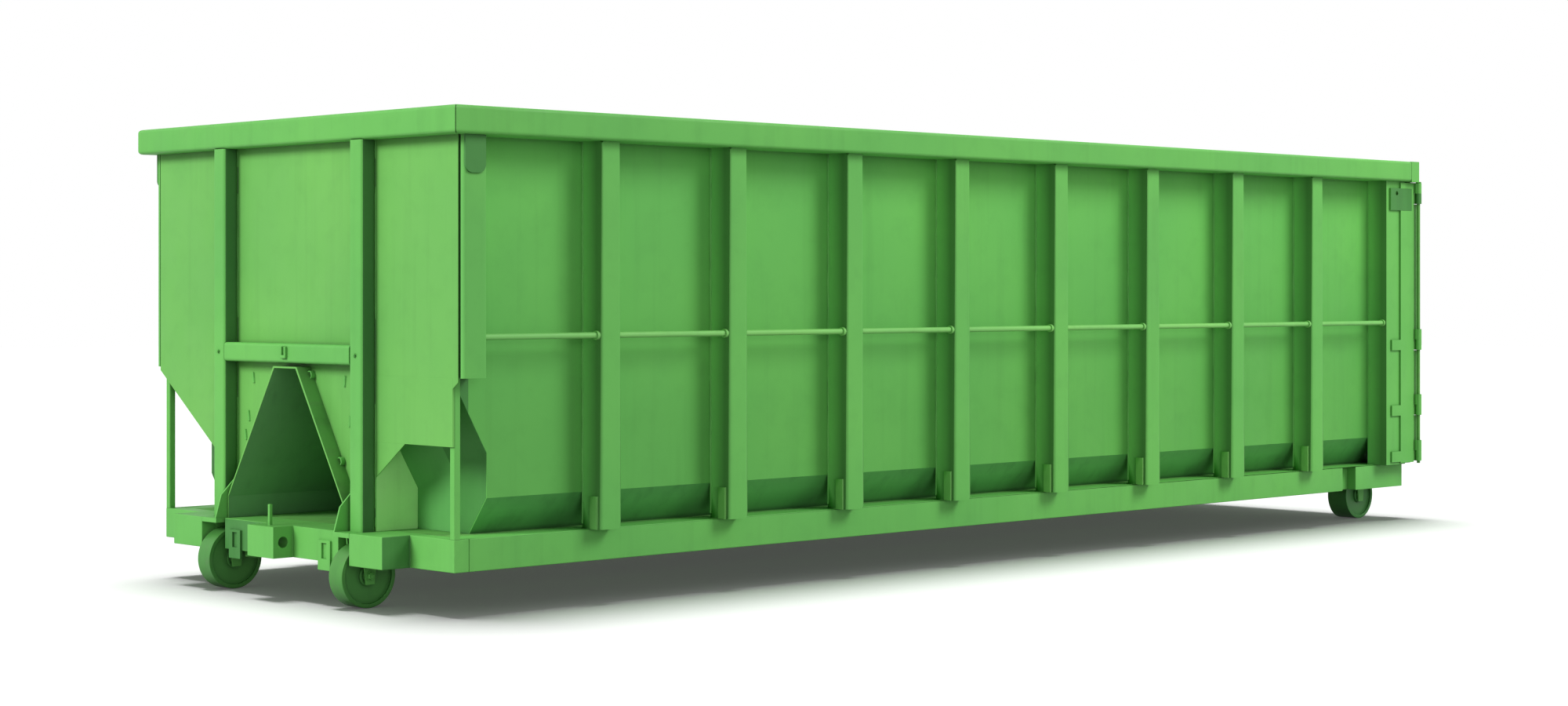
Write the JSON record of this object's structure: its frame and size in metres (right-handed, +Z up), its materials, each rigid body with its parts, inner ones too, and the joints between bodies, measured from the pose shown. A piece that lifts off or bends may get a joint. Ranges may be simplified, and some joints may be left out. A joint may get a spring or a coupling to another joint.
{
  "type": "roll-off dumpster",
  "caption": "Open-topped steel roll-off container with ribbed sides, tie bars, cut front corners, hook tunnel, rollers and a side-hinged rear door.",
  "frame": {"origin": "centre of the bounding box at ground level", "axes": "+X from the nose with the pull lug to the rear door, +Y to the far side, +Z up"},
  "size_m": [7.133, 2.438, 2.074],
  "materials": {
    "green_paint": "satin",
    "steel_pin": "satin"
  },
  "bodies": {
    "frame": {"base_front_far": "green_paint", "base_front_near": "green_paint", "base_rail_far": "green_paint", "base_rail_near": "green_paint", "bolt_keeper": "green_paint", "corner_cover_near": "green_paint", "corner_plate_far": "green_paint", "corner_plate_near": "green_paint", "corner_post_far": "green_paint", "corner_post_near": "green_paint", "corner_stanchion_far": "green_paint", "corner_stanchion_near": "green_paint", "doghouse_shell": "green_paint", "floor_plate": "green_paint", "front_cross_tube": "green_paint", "front_post_far": "green_paint", "front_post_near": "green_paint", "front_roller_mount_far": "green_paint", "front_roller_mount_near": "green_paint", "front_sheet": "green_paint", "hinge_rod": "steel_pin", "nose_beam": "green_paint", "rear_post_far": "green_paint", "rear_post_near": "green_paint", "rear_roller_mount_far": "green_paint", "rear_roller_mount_near": "green_paint", "side_rib_far_1": "green_paint", "side_rib_far_2": "green_paint", "side_rib_far_3": "green_paint", "side_rib_far_4": "green_paint", "side_rib_far_5": "green_paint", "side_rib_far_6": "green_paint", "side_rib_far_7": "green_paint", "side_rib_far_8": "green_paint", "side_rib_near_1": "green_paint", "side_rib_near_2": "green_paint", "side_rib_near_3": "green_paint", "side_rib_near_4": "green_paint", "side_rib_near_5": "green_paint", "side_rib_near_6": "green_paint", "side_rib_near_7": "green_paint", "side_rib_near_8": "green_paint", "side_sheet_far": "green_paint", "side_sheet_near": "green_paint", "tie_bar_far": "green_paint", "tie_bar_near": "green_paint", "top_rail_far": "green_paint", "top_rail_front": "green_paint", "top_rail_near": "green_paint", "underframe": "green_paint"},
    "door": {"rear_door": "green_paint"},
    "bolt": {"door_bolt": "steel_pin"},
    "roller_front_far_body": {"roller_front_far": "green_paint"},
    "roller_front_near_body": {"roller_front_near": "green_paint"},
    "roller_rear_far_body": {"roller_rear_far": "green_paint"},
    "roller_rear_near_body": {"roller_rear_near": "green_paint"}
  },
  "joints": [
    {"name": "door_swing", "type": "hinge", "parent": "frame", "child": "door", "pos_m": [3.5485, -1.2, 1.1], "axis": [0, 0, 1], "range_deg": [-270, 0]},
    {"name": "bolt_slide", "type": "slide", "parent": "door", "child": "bolt", "axis": [0, 1, 0], "range_m": [0, 0.06]},
    {"name": "spin_front_far", "type": "hinge", "parent": "frame", "child": "roller_front_far_body", "pos_m": [-3.3955, 0.5095, 0.136], "axis": [0, 1, 0], "continuous": true},
    {"name": "spin_front_near", "type": "hinge", "parent": "frame", "child": "roller_front_near_body", "pos_m": [-3.3955, -0.5095, 0.136], "axis": [0, 1, 0], "continuous": true},
    {"name": "spin_rear_far", "type": "hinge", "parent": "frame", "child": "roller_rear_far_body", "pos_m": [3.2965, 0.9, 0.136], "axis": [0, 1, 0], "continuous": true},
    {"name": "spin_rear_near", "type": "hinge", "parent": "frame", "child": "roller_rear_near_body", "pos_m": [3.2965, -0.9, 0.136], "axis": [0, 1, 0], "continuous": true}
  ]
}
